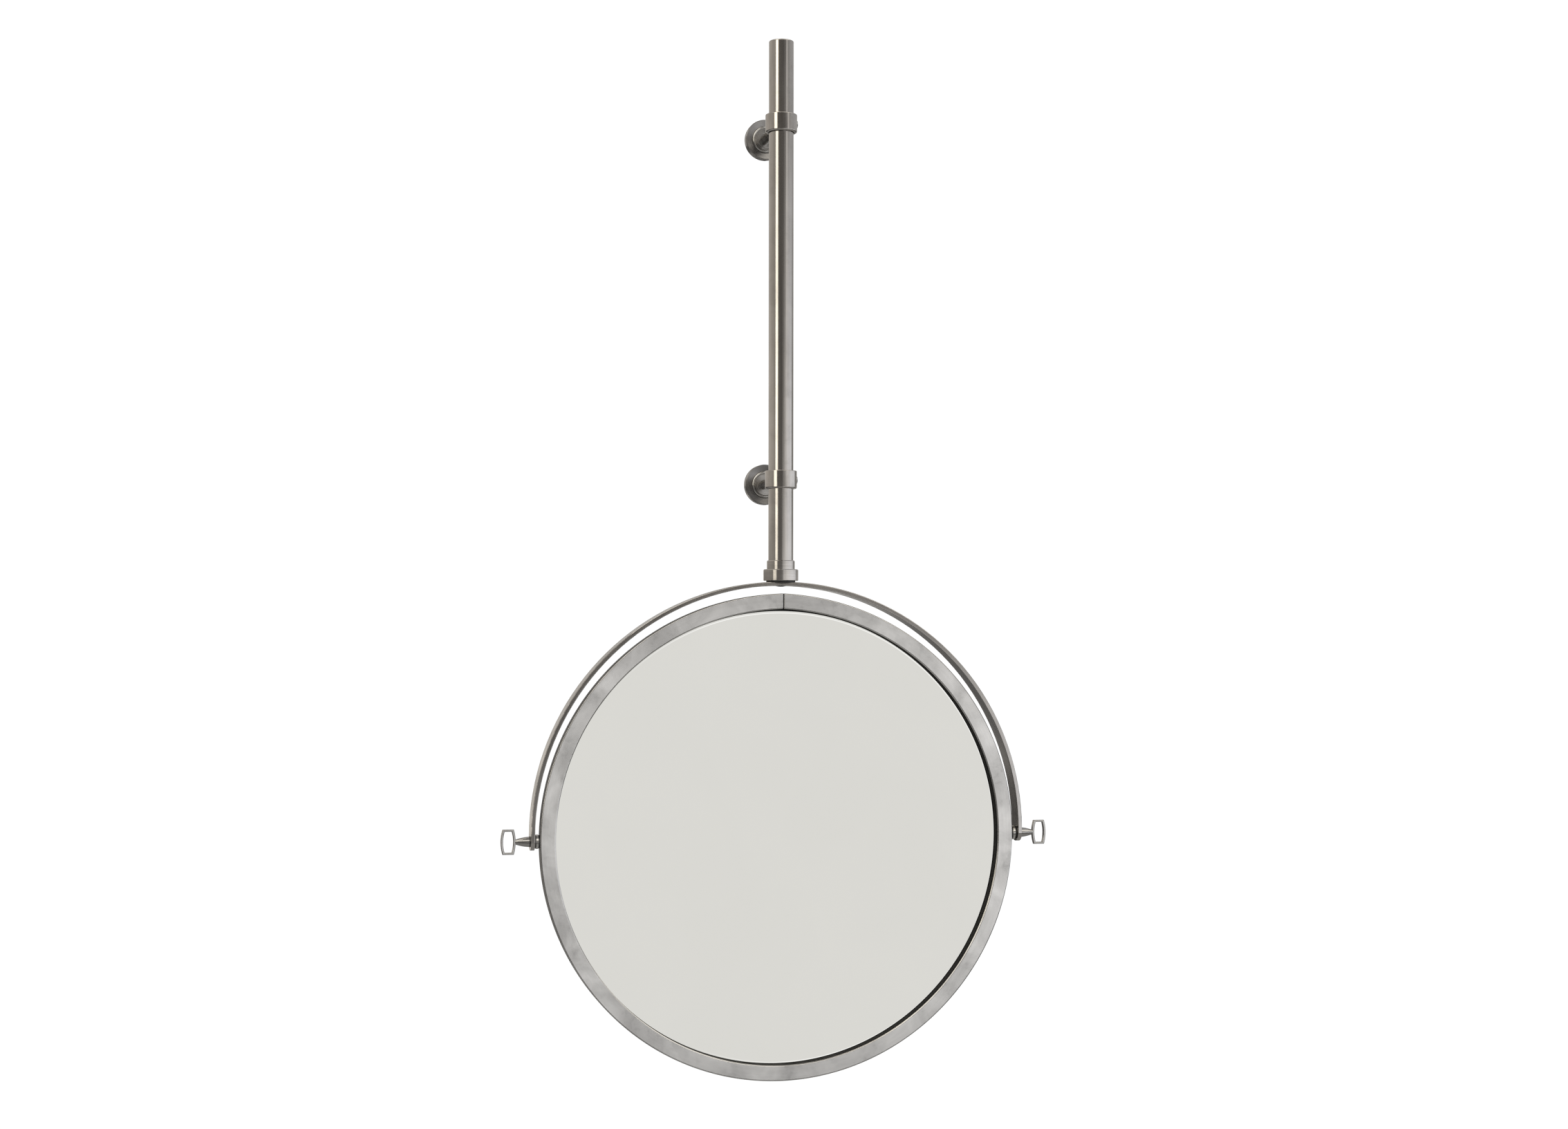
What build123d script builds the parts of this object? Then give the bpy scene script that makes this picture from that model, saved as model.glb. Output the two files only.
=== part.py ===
from build123d import *
from math import sqrt
import os

# Extendable wall mirror: a round pole slides in two wall brackets and carries a bent yoke,
# which holds a round framed mirror between two thumb keys. Sizes are in millimetres.
# +X is to the user's right, +Y runs into the wall, +Z is up. The origin is the centre of the
# upper wall plate's back face, so the wall is the plane y = 0.

# ---- Overall layout -------------------------------------------------------------------------
stand_off = 80.0            # wall to the axis of the pole, the yoke and the mirror's pivots
bracket_spacing = 358.0     # upper bracket to lower bracket
pivot_drop = 713.5          # upper bracket to the mirror's pivot axis
pole_rise = 83.5            # upper bracket to the top of the pole's cap

# ---- Pole -----------------------------------------------------------------------------------
pole_r = 12.5
pole_wall = 1.5
cap_thickness = 2.0
cap_edge = 1.0              # rounding of the cap's top edge
cap_spigot = 8.0
plug_length = 22.0

# ---- Ferrule at the pole's foot -------------------------------------------------------------
ferrule_ring_wall = 1.5     # upper step, outside the pole
ferrule_ring_height = 8.9
ferrule_cup_wall = 5.0      # lower step, outside the pole
ferrule_cup_height = 11.4
ferrule_floor = 2.5
ferrule_bevel = 0.8
friction_washer_r = 14.5
friction_washer_thickness = 1.4

# ---- Collar and liner on each bracket -------------------------------------------------------
liner_wall = 0.8
liner_inset = 0.5           # liner end to collar end
collar_wall = 2.65
collar_height = 18.0
collar_top_edge = 0.6
collar_foot_edge = 1.5

# ---- Collar set screw and its pressure pad --------------------------------------------------
set_screw_r = 2.5           # M5
set_screw_head_r = 3.8
set_screw_head_height = 1.6
set_screw_proud = 1.0       # head above the collar's surface
set_screw_dome = 0.7
set_screw_socket_af = 2.5
set_screw_socket_depth = 1.9
pad_length = 1.45

# ---- Arm, wall plate and rosette on each bracket --------------------------------------------
arm_r = 5.0
arm_stud_r = 4.0
arm_stud_floor = 0.8        # metal left behind the stud's hole
weld_size = 1.3             # fillet where the arm meets the collar
plate_r = 18.3
plate_thickness = 3.2
plate_boss_r = 7.0
plate_boss_height = 1.8
plate_screw_r = 2.3         # hole for a 4 mm wall screw
plate_screw_spacing = 24.0
rosette_gap = 0.2           # rosette rim to wall, and rosette to plate
rosette_wall = 2.3
rosette_depth = 8.0
rosette_bevel = 0.8
rosette_face = 1.8          # thickness of the dished front at its middle
rosette_bore_r = 8.0
bead_seat_r = 13.8          # outside of the bead ring
bead_r = 1.5                # half-round bead
bead_lift = 0.8
step_width = 1.6
step_height = 0.8
grub_r = 1.5                # M3
grub_height = 2.0           # grub screw axis to wall
grub_socket_af = 1.5

# ---- Yoke -----------------------------------------------------------------------------------
yoke_thickness = 4.0
yoke_width = 21.0
yoke_gap = 5.2              # mirror frame to yoke, beside the pivots
yoke_rise = 4.4             # centre of the yoke's bend above the pivot axis
yoke_end_drop = 8.5         # rounded end below the pivot axis
yoke_edge = 0.6

# ---- Swivel screw ---------------------------------------------------------------------------
swivel_r = 3.0              # M6
swivel_head_r = 5.7
swivel_head_height = 2.7
swivel_head_dome = 1.0
swivel_socket_af = 3.9
swivel_socket_depth = 2.2
swivel_grip = 16.0          # thread inside the plug

# ---- Mirror ---------------------------------------------------------------------------------
mirror_r = 240.0
frame_face = 15.5           # radial width of the front face
frame_lip = 4.4             # thickness of the front face
frame_wall = 3.5
frame_inner_edge = 2.5
frame_outer_edge = 1.2
frame_back_edge = 0.5
frame_back_land = 0.3       # snap ring to the frame's back edge
seam_width = 0.3
seam_depth = 0.3
seam_offset = 1.5           # butt seam, to the right of the top
gasket_thickness = 0.8
gasket_show = 0.4           # gasket set back from the frame's inner edge
glass_thickness = 4.0
glass_chamfer = 0.6
glass_margin = 3.5          # glass to the frame's outer wall
cushion_thickness = 1.9
panel_thickness = 1.2
panel_margin = 0.2
wire_r = 0.7                # snap ring wire
wire_play = 0.1
wire_gap_angle = 10.0       # opening of the snap ring, at the foot

# ---- Pivots and keys ------------------------------------------------------------------------
stud_r = 3.0                # M6
insert_wall = 1.0
insert_margin = 0.3         # insert to glass
spacer_r = 7.0
spacer_edge = 0.5
pivot_washer_r = 6.4
pivot_washer_thickness = 1.0
key_washer_rim = 0.2        # washer past the cone's foot
key_washer_thickness = 0.8
cone_wall = 2.0             # cone's foot, outside the stud
cone_tip_r = 2.3
cone_length = 13.3
cone_swell = 0.55           # how far the cone bulges, over a straight taper
bow_width = 14.6
bow_end_width = 11.0
bow_height = 24.3
bow_thickness = 4.0
bow_side = 2.5
bow_end = 2.0
bow_edge = 0.7
bow_root = 0.5              # bow let into the cone's tip
stud_socket = 8.0
stud_tip_margin = 0.7       # stud tip to glass

# ---- Clearances -----------------------------------------------------------------------------
slide_fit = 0.05            # pole in liners
turn_fit = 0.05             # screws and studs in their holes
washer_fit = 0.1            # washers and spacers round a stud
face_play = 0.05            # faces that turn on each other
pivot_play = 0.15           # pivot washers and key washers to the yoke

# ---- Places worked out from the above -------------------------------------------------------
yoke_inner_r = mirror_r + yoke_gap
yoke_outer_r = yoke_inner_r + yoke_thickness
crown_seat = sqrt(yoke_outer_r ** 2 - friction_washer_r ** 2)     # flat on the yoke's crown
washer_foot = -pivot_drop + yoke_rise + crown_seat + face_play
cup_foot = washer_foot + friction_washer_thickness
cup_top = cup_foot + ferrule_cup_height
pole_foot = cup_foot + ferrule_floor
pole_top = pole_rise - cap_thickness
pole_bore_r = pole_r - pole_wall
liner_r = pole_r + slide_fit
collar_bore_r = liner_r + liner_wall
collar_r = collar_bore_r + collar_wall
head_seat = collar_r + set_screw_proud - set_screw_head_height
pad_outer = liner_r + pad_length
rosette_cavity_r = plate_r + rosette_gap
rosette_r = rosette_cavity_r + rosette_wall
rosette_cavity = plate_thickness + plate_boss_height + rosette_gap
bead_base = rosette_cavity + rosette_face
arm_shoulder = plate_thickness + plate_boss_height
frame_inner_r = mirror_r - frame_face
frame_bore_r = mirror_r - frame_wall
insert_r = stud_r + insert_wall
cone_r = stud_r + cone_wall
key_washer_r = cone_r + key_washer_rim
backing = cushion_thickness + panel_thickness + 2 * wire_r + frame_back_land
frame_depth = frame_lip + gasket_thickness + glass_thickness + backing
frame_front = -frame_depth / 2
gasket_front = frame_front + frame_lip
glass_front = gasket_front + gasket_thickness
glass_r = frame_bore_r - glass_margin
cushion_front = glass_front + glass_thickness
panel_front = cushion_front + cushion_thickness
wire_centre = panel_front + panel_thickness + wire_r
key_seat = yoke_outer_r + pivot_play + key_washer_thickness + face_play
cone_end = key_seat + cone_length
bow_centre = cone_end + bow_width / 2 - bow_root
stud_tip = glass_r + stud_tip_margin

POLE_AXIS = Plane(origin=(0, -stand_off, 0), x_dir=(1, 0, 0), z_dir=(0, 0, 1))
MIRROR = Plane(origin=(0, -stand_off, -pivot_drop), x_dir=(1, 0, 0), z_dir=(0, 0, 1))
YOKE = MIRROR.offset(yoke_rise)
RIGHTWARDS = Plane(origin=(0, 0, 0), x_dir=(0, 1, 0), z_dir=(1, 0, 0))
BRACKETS = {"upper": 0.0, "lower": -bracket_spacing}
SIDES = {"left": -1, "right": 1}


def wall_plane(level):
    """Frame of one bracket: its z runs out from the wall, its y is up."""
    return Plane(origin=(0, 0, level), x_dir=(1, 0, 0), z_dir=(0, -1, 0))


def pivot_plane(side):
    """Frame of one pivot: its z runs outwards from the mirror's centre, its y is up."""
    return Plane(origin=(0, -stand_off, -pivot_drop), x_dir=(0, side, 0), z_dir=(side, 0, 0))


def screw_plane(level):
    """Frame of one collar set screw: its z runs outwards to the right from the pole's axis."""
    return Plane(origin=(0, -stand_off, level), x_dir=(0, 1, 0), z_dir=(1, 0, 0))


def rod(radius, start, end):
    """Round bar on the z axis."""
    return Pos(0, 0, start) * Cylinder(radius, end - start, align=(Align.CENTER, Align.CENTER, Align.MIN))


def tube(outer, inner, start, end):
    """Round tube or washer on the z axis."""
    return rod(outer, start, end) - rod(inner, start - 1, end + 1)


def outline(points):
    """Closed face through the points; a pair of points makes an arc, through the first to the second."""
    edges = []
    here = points[0]
    for step in points[1:] + [points[0]]:
        if isinstance(step[0], tuple):
            edges.append(ThreePointArc(here, step[0], step[1]))
            here = step[1]
        else:
            edges.append(Line(here, step))
            here = step
    return make_face(edges)


def turned(points):
    """Solid turned about the z axis from an outline of (radius, height) points."""
    return revolve(Plane.XZ * outline(points), Axis.Z)


def round_corner(start, corner, end, radius):
    """Arc that rounds an outline's right-angled corner: its first point, then (middle, last)."""
    to_start = (Vector(*start) - Vector(*corner)).normalized()
    to_end = (Vector(*end) - Vector(*corner)).normalized()
    first = Vector(*corner) + to_start * radius
    last = Vector(*corner) + to_end * radius
    middle = Vector(*corner) + (to_start + to_end) * radius * (1 - sqrt(0.5))
    return [(first.X, first.Y), ((middle.X, middle.Y), (last.X, last.Y))]


def hex_socket(width, top, depth):
    """Hexagonal key socket on the z axis, cut down from the height given."""
    return extrude(Pos(0, 0, top - depth) * RegularPolygon(width / 2, 6, major_radius=False), depth + 1)


# ---- Brackets -------------------------------------------------------------------------------

def wall_plate():
    """Round plate screwed to the wall, with a boss that takes the arm's stud."""
    plate = rod(plate_r, 0, plate_thickness) + rod(plate_boss_r, plate_thickness, arm_shoulder)
    plate -= rod(arm_stud_r, arm_stud_floor, arm_shoulder + 1)
    for side in (-1, 1):
        plate -= Pos(0, side * plate_screw_spacing / 2, 0) * rod(plate_screw_r, -1, plate_thickness + 1)
    return plate


def rosette():
    """Turned cover over the wall plate, with a shallow conical face, bored for its grub screw."""
    cover = turned([
        (rosette_cavity_r, rosette_gap),
        (rosette_r, rosette_gap),
        (rosette_r, rosette_depth - rosette_bevel),
        (rosette_r - rosette_bevel, rosette_depth),
        (bead_seat_r, bead_base),
        (rosette_bore_r, bead_base),
        (rosette_bore_r, rosette_cavity),
        (rosette_cavity_r, rosette_cavity),
    ])
    return cover - grub_axis() * rod(grub_r, plate_r, rosette_r + 1)


def grub_axis():
    """Axis of the rosette's grub screw: straight down from the arm's axis."""
    return Plane(origin=(0, 0, grub_height), x_dir=(1, 0, 0), z_dir=(0, -1, 0))


def rosette_grub_screw():
    """Headless screw that holds the rosette on the edge of the wall plate."""
    end = rosette_r - bead_lift
    screw = rod(grub_r, plate_r, end) - hex_socket(grub_socket_af, end, grub_r)
    return grub_axis() * screw


def bead_ring():
    """Polished ring in the rosette's middle: a half-round bead, a groove and a low step."""
    top = bead_base + bead_lift
    inner = bead_seat_r - 2 * bead_r
    step = arm_r + washer_fit + step_width
    return turned([
        (arm_r + washer_fit, bead_base),
        (bead_seat_r, bead_base),
        (bead_seat_r, top),
        ((bead_seat_r - bead_r, top + bead_r), (inner, top)),
        (inner, top - step_height / 2),
        (step + step_width, top - step_height / 2),
        (step + step_width, top + step_height / 2),
        (step, top + step_height / 2),
        (step, top - step_height / 2),
        (arm_r + washer_fit, top - step_height / 2),
    ])


def arm():
    """Bar from the wall plate to the collar, with a threaded stud and a saddle-shaped weld."""
    across = Plane(origin=(0, 0, stand_off), x_dir=(1, 0, 0), z_dir=(0, 1, 0))
    body = across * rod(collar_r, -collar_height / 2, collar_height / 2)
    joined = body + rod(arm_r, arm_shoulder, stand_off)
    seam = joined.edges().filter_by_position(Axis.Z, stand_off - collar_r - arm_r, stand_off - collar_r / 2)
    bar = fillet(seam, weld_size) - body
    return bar + rod(arm_stud_r, arm_stud_floor, arm_shoulder)


def collar():
    """Ring round the pole, with soft lips and a threaded hole for the set screw."""
    half = collar_height / 2
    ring = turned(
        [(collar_bore_r, -half)]
        + round_corner((collar_bore_r, -half), (collar_r, -half), (collar_r, half), collar_foot_edge)
        + round_corner((collar_r, -half), (collar_r, half), (collar_bore_r, half), collar_top_edge)
        + [(collar_bore_r, half)]
    )
    hole = rod(set_screw_r, 0, collar_r + 1) + rod(set_screw_head_r + washer_fit, head_seat, collar_r + 1)
    return ring - RIGHTWARDS * hole


def collar_liner():
    """Plastic sleeve that the pole slides in, pierced for the pressure pad."""
    half = collar_height / 2 - liner_inset
    sleeve = tube(collar_bore_r, liner_r, -half, half)
    return sleeve - RIGHTWARDS * rod(set_screw_r, 0, collar_r)


def pressure_pad():
    """Plug between the set screw and the pole, hollowed to the pole's curve."""
    pad = rod(set_screw_r - turn_fit, liner_r - 1, pad_outer)
    return pad - Plane(origin=(0, 0, 0), x_dir=(1, 0, 0), z_dir=(0, 1, 0)) * rod(liner_r, -pole_r, pole_r)


def set_screw():
    """Collar screw with a low domed head and a hexagonal socket."""
    tip = pad_outer + face_play
    top = head_seat + set_screw_head_height
    rim = top - set_screw_dome
    head = turned([
        (0, head_seat),
        (set_screw_head_r, head_seat),
        (set_screw_head_r, rim),
        ((set_screw_head_r * 0.62, top - set_screw_dome * 0.38), (0, top)),
    ])
    shank = rod(set_screw_r - turn_fit, tip, head_seat)
    return head + shank - hex_socket(set_screw_socket_af, top, set_screw_socket_depth)


# ---- Pole and ferrule -----------------------------------------------------------------------

def pole_cap():
    """Lid with a softly rounded edge, on a spigot inside the pole."""
    lid = turned(
        [(0, pole_top)]
        + [(pole_r, pole_top)]
        + round_corner((pole_r, pole_top), (pole_r, pole_rise), (0, pole_rise), cap_edge)
        + [(0, pole_rise)]
    )
    return lid + rod(pole_bore_r, pole_top - cap_spigot, pole_top)


def pole_plug():
    """Threaded plug in the pole's foot."""
    return tube(pole_bore_r, swivel_r, pole_foot, pole_foot + plug_length)


def ferrule_ring():
    """Upper, narrower step of the ferrule, with a bevelled top edge."""
    outer = pole_r + ferrule_ring_wall
    top = cup_top + ferrule_ring_height
    return turned([
        (pole_r, cup_top),
        (outer, cup_top),
        (outer, top - ferrule_bevel),
        (outer - ferrule_bevel, top),
        (pole_r, top),
    ])


def ferrule_cup():
    """Lower, wider step of the ferrule: a cup with a floor under the pole."""
    outer = pole_r + ferrule_cup_wall
    return turned([
        (swivel_r + washer_fit, cup_foot),
        (outer - ferrule_bevel / 2, cup_foot),
        (outer, cup_foot + ferrule_bevel / 2),
        (outer, cup_top - ferrule_bevel),
        (outer - ferrule_bevel, cup_top),
        (pole_r, cup_top),
        (pole_r, pole_foot),
        (swivel_r + washer_fit, pole_foot),
    ])


def swivel_screw():
    """Raised countersunk screw, up through the yoke into the plug: the yoke turns on it."""
    face = yoke_inner_r + yoke_rise - pivot_drop
    neck = face + swivel_head_height
    screw = turned([
        (0, face - swivel_head_dome),
        ((swivel_head_r * 0.62, face - swivel_head_dome * 0.62), (swivel_head_r, face)),
        (swivel_r, neck),
        (swivel_r, pole_foot + swivel_grip),
        (0, pole_foot + swivel_grip),
    ])
    socket = Rot(180, 0, 0) * hex_socket(swivel_socket_af, swivel_head_dome - face, swivel_socket_depth)
    return screw - socket


# ---- Yoke -----------------------------------------------------------------------------------

def yoke_bar():
    """Flat bar bent to a half circle, with straight rounded ends, a crown seat and three holes.

    It is made round the centre of its bend, so the pivot axis is below."""
    section = Pos(yoke_inner_r + yoke_thickness / 2, 0) * RectangleRounded(yoke_thickness, yoke_width, yoke_edge)
    bar = revolve(section, Axis((0, 0, 0), (0, -1, 0)), 180)
    ends = Plane.YZ * outline([
        (-yoke_width / 2, 1),
        (-yoke_width / 2, -yoke_rise),
        ((0, -yoke_rise - yoke_end_drop), (yoke_width / 2, -yoke_rise)),
        (yoke_width / 2, 1),
    ])
    envelope = extrude(ends, yoke_outer_r + 1, both=True)
    for side in (-1, 1):
        leg = extrude(Pos(side * (yoke_inner_r + yoke_thickness / 2), 0) * RectangleRounded(
            yoke_thickness, yoke_width, yoke_edge), -yoke_width)
        bar += leg & envelope
    bar -= Pos(0, 0, crown_seat) * Box(
        3 * friction_washer_r, 2 * yoke_width, yoke_thickness, align=(Align.CENTER, Align.CENTER, Align.MIN))
    bar -= rod(swivel_r + turn_fit, yoke_inner_r - 1, yoke_outer_r + 1)
    bar -= turned([
        (0, yoke_inner_r - yoke_thickness),
        (swivel_head_r + turn_fit * 2, yoke_inner_r - yoke_thickness),
        (swivel_head_r + turn_fit * 2, yoke_inner_r),
        (swivel_r + turn_fit * 2, yoke_inner_r + swivel_head_height),
        (0, yoke_inner_r + swivel_head_height),
    ])
    pivots = RIGHTWARDS * rod(stud_r + turn_fit, -yoke_outer_r - 1, yoke_outer_r + 1)
    return bar - Pos(0, 0, -yoke_rise) * pivots


# ---- Mirror ---------------------------------------------------------------------------------

def around_mirror(points):
    """Ring turned about the mirror's axis from (radius, depth) points; depth runs to the wall."""
    return revolve(outline(points), Axis.Y)


def disc(radius, front, thickness):
    """Disc on the mirror's axis."""
    return around_mirror([(0, front), (radius, front), (radius, front + thickness), (0, front + thickness)])


def mirror_frame():
    """Ring with a flat face, a rounded inner edge and a deep outer wall, butt welded at one seam."""
    front = frame_front
    back = frame_depth / 2
    lip_back = gasket_front
    snap = wire_r + wire_play
    ring = around_mirror(
        [(frame_inner_r, lip_back)]
        + round_corner((frame_inner_r, lip_back), (frame_inner_r, front), (mirror_r, front), frame_inner_edge)
        + round_corner((frame_inner_r, front), (mirror_r, front), (mirror_r, back), frame_outer_edge)
        + round_corner((mirror_r, front), (mirror_r, back), (frame_bore_r, back), frame_back_edge)
        + [(frame_bore_r, back), (frame_bore_r, wire_centre + snap)]
        + [((frame_bore_r + snap, wire_centre), (frame_bore_r, wire_centre - snap))]
        + [(frame_bore_r, lip_back)]
    )
    seam = Pos(seam_offset, front, mirror_r - frame_face / 2) * Box(seam_width, 2 * seam_depth, frame_face + 2)
    seam += Pos(seam_offset, 0, mirror_r) * Box(seam_width, frame_depth + 2, 2 * seam_depth)
    return ring - seam - pivot_bores(insert_r)


def pivot_bores(radius):
    """Round cutters along both pivots, through the mirror's outer wall."""
    start = glass_r + insert_margin
    return RIGHTWARDS * (rod(radius, start, mirror_r + 1) + rod(radius, -mirror_r - 1, -start))


def snap_ring():
    """Open ring of spring wire in the frame's groove, behind the back panel."""
    section = Pos(frame_bore_r, wire_centre) * Circle(wire_r)
    start = Rot(0, 90 + wire_gap_angle / 2, 0)
    return start * revolve(section, Axis.Y, 360 - wire_gap_angle)


def glass():
    """Round mirror glass with a small chamfer on both edges."""
    back = glass_front + glass_thickness
    return around_mirror([
        (0, glass_front),
        (glass_r - glass_chamfer, glass_front),
        (glass_r, glass_front + glass_chamfer),
        (glass_r, back - glass_chamfer),
        (glass_r - glass_chamfer, back),
        (0, back),
    ])


def gasket():
    """Thin seal between the frame's lip and the glass."""
    inner = frame_inner_r + gasket_show
    outer = glass_r - glass_chamfer
    return around_mirror([
        (inner, gasket_front), (outer, gasket_front), (outer, glass_front), (inner, glass_front)])


# ---- Pivot hardware, in the pivot plane's own frame -----------------------------------------

def pivot_insert():
    """Threaded bush through the frame's wall, as long as the wall leaves room for."""
    return tube(insert_r, stud_r + turn_fit, glass_r + insert_margin, mirror_r - seam_depth)


def pivot_stack():
    """Heights of the two washers and the spacer between the frame and the yoke."""
    outer = yoke_inner_r - pivot_play
    return mirror_r, mirror_r + pivot_washer_thickness, outer - pivot_washer_thickness, outer


def pivot_washers():
    """Inner and outer plastic washers of one pivot."""
    start, inner, outer, end = pivot_stack()
    bore = stud_r + washer_fit
    return tube(pivot_washer_r, bore, start, inner) + tube(pivot_washer_r, bore, outer, end)


def pivot_spacer():
    """Polished spacer with bevelled edges."""
    _, start, end, _ = pivot_stack()
    bore = stud_r + washer_fit
    return turned([
        (bore, start),
        (spacer_r - spacer_edge, start),
        (spacer_r, start + spacer_edge),
        (spacer_r, end - spacer_edge),
        (spacer_r - spacer_edge, end),
        (bore, end),
    ])


def key_washer():
    """Thrust washer under one key."""
    start = yoke_outer_r + pivot_play
    return tube(key_washer_r, stud_r + turn_fit, start, start + key_washer_thickness)


def key_stud():
    """Threaded stud, from inside the key's cone to just short of the glass."""
    return rod(stud_r, stud_tip, key_seat + stud_socket)


def key():
    """Thumb key: a swelling cone with a flat open bow whose sides bulge."""
    middle = key_seat + cone_length / 2
    mean_r = (cone_r + cone_tip_r) / 2
    cone = turned([
        (0, key_seat),
        (cone_r, key_seat),
        ((mean_r + cone_swell, middle), (cone_tip_r, cone_end)),
        (0, cone_end),
    ])
    cone -= rod(stud_r, key_seat - 1, key_seat + stud_socket)
    return cone + Pos(0, 0, bow_centre) * bow()


def bow():
    """Open bow in the plane of the key's y and z axes, its long side along y."""
    face = Plane.YZ * (barrel(bow_height, bow_width, bow_end_width) - barrel(
        bow_height - 2 * bow_end, bow_width - 2 * bow_side, bow_end_width - 2 * bow_side + bow_edge))
    body = extrude(face, bow_thickness / 2, both=True)
    rims = body.edges().filter_by(lambda edge: abs(abs(edge.center().X) - bow_thickness / 2) < bow_edge / 10)
    return fillet(rims, bow_edge)


def barrel(length, width, end_width):
    """Barrel-shaped face: straight ends, and long sides that bulge to the full width."""
    return outline([
        (-length / 2, -end_width / 2),
        ((0, -width / 2), (length / 2, -end_width / 2)),
        (length / 2, end_width / 2),
        ((0, width / 2), (-length / 2, end_width / 2)),
    ])


# ---- Nodes ----------------------------------------------------------------------------------

def bracket_nodes():
    """Both wall brackets with their collars, set screws and pads."""
    nodes = {}
    for name, level in BRACKETS.items():
        wall = wall_plane(level)
        pole = POLE_AXIS.offset(level)
        screw = screw_plane(level)
        nodes[name + "_wall_plate"] = wall * wall_plate()
        nodes[name + "_rosette"] = wall * rosette()
        nodes[name + "_grub_screw"] = wall * rosette_grub_screw()
        nodes[name + "_bead_ring"] = wall * bead_ring()
        nodes[name + "_arm"] = wall * arm()
        nodes[name + "_collar"] = pole * collar()
        nodes[name + "_collar_liner"] = pole * collar_liner()
        nodes[name + "_pressure_pad"] = screw * pressure_pad()
        nodes[name + "_set_screw"] = screw * set_screw()
    return nodes


def pole_nodes():
    """Pole, its end pieces, the ferrule and the swivel screw."""
    return {
        "pole_tube": POLE_AXIS * tube(pole_r, pole_bore_r, pole_foot, pole_top),
        "pole_cap": POLE_AXIS * pole_cap(),
        "pole_plug": POLE_AXIS * pole_plug(),
        "ferrule_ring": POLE_AXIS * ferrule_ring(),
        "ferrule_cup": POLE_AXIS * ferrule_cup(),
        "friction_washer": POLE_AXIS * tube(friction_washer_r, swivel_r + washer_fit, washer_foot, cup_foot),
        "swivel_screw": POLE_AXIS * swivel_screw(),
    }


def mirror_nodes():
    """Framed mirror in front-to-back order, then its pivot hardware."""
    cushion_r = glass_r - glass_chamfer
    panel_r = frame_bore_r - panel_margin
    planes = [pivot_plane(side) for side in SIDES.values()]
    return {
        "mirror_frame": MIRROR * mirror_frame(),
        "glass_gasket": MIRROR * gasket(),
        "mirror_glass": MIRROR * glass(),
        "glass_cushion": MIRROR * disc(cushion_r, cushion_front, cushion_thickness),
        "back_panel": MIRROR * (disc(panel_r, panel_front, panel_thickness) - pivot_bores(insert_r + turn_fit)),
        "snap_ring": MIRROR * snap_ring(),
        "pivot_inserts": Compound(children=[plane * pivot_insert() for plane in planes]),
        "pivot_washers": Compound(children=[plane * pivot_washers() for plane in planes]),
        "pivot_spacers": Compound(children=[plane * pivot_spacer() for plane in planes]),
    }


def key_nodes():
    """Both thumb keys with their studs and thrust washers."""
    nodes = {}
    for name, side in SIDES.items():
        plane = pivot_plane(side)
        nodes[name + "_key"] = plane * key()
        nodes[name + "_key_stud"] = plane * key_stud()
        nodes[name + "_key_washer"] = plane * key_washer()
    return nodes


def main():
    os.makedirs("parts", exist_ok=True)
    nodes = {**bracket_nodes(), **pole_nodes(), "yoke_bar": YOKE * yoke_bar(), **mirror_nodes(), **key_nodes()}
    for name, shape in nodes.items():
        export_step(shape, f"parts/{name}.step")


main()
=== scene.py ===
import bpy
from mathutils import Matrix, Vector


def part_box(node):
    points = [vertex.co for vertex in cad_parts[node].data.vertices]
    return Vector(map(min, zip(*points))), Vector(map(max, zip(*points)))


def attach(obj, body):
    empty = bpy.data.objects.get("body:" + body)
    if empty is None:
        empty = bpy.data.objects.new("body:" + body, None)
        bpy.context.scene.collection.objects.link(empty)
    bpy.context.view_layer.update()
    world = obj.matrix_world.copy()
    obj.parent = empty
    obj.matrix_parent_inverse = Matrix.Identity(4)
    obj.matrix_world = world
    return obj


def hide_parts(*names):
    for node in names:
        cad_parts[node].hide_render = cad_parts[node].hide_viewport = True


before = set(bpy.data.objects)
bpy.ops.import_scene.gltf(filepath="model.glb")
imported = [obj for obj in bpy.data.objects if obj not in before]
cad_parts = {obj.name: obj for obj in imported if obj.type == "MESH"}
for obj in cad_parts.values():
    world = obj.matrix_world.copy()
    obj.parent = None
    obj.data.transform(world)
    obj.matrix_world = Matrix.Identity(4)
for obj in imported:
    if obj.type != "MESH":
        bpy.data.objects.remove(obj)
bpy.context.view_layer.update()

import math

import bpy
import numpy as np
from mathutils import Matrix

# Extendable wall mirror: the looks of its steel, glass, plastic and brass, worked out from the
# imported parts. +X is to the user's right, +Y runs into the wall, +Z is up, in metres.

MM = 0.001


def middle(node):
    """Centre of a CAD part's box."""
    low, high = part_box(node)
    return (low + high) / 2


# ---- Places read from the parts -------------------------------------------------------------
MIRROR_CENTRE = middle("mirror_glass")
MIRROR_CENTRE.y = middle("mirror_frame").y
YOKE_LOW, YOKE_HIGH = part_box("yoke_bar")
POLE_AXIS = middle("pole_tube")
LEVELS = {"upper": middle("upper_collar").z, "lower": middle("lower_collar").z}


# ---- Shapes ---------------------------------------------------------------------------------

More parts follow.
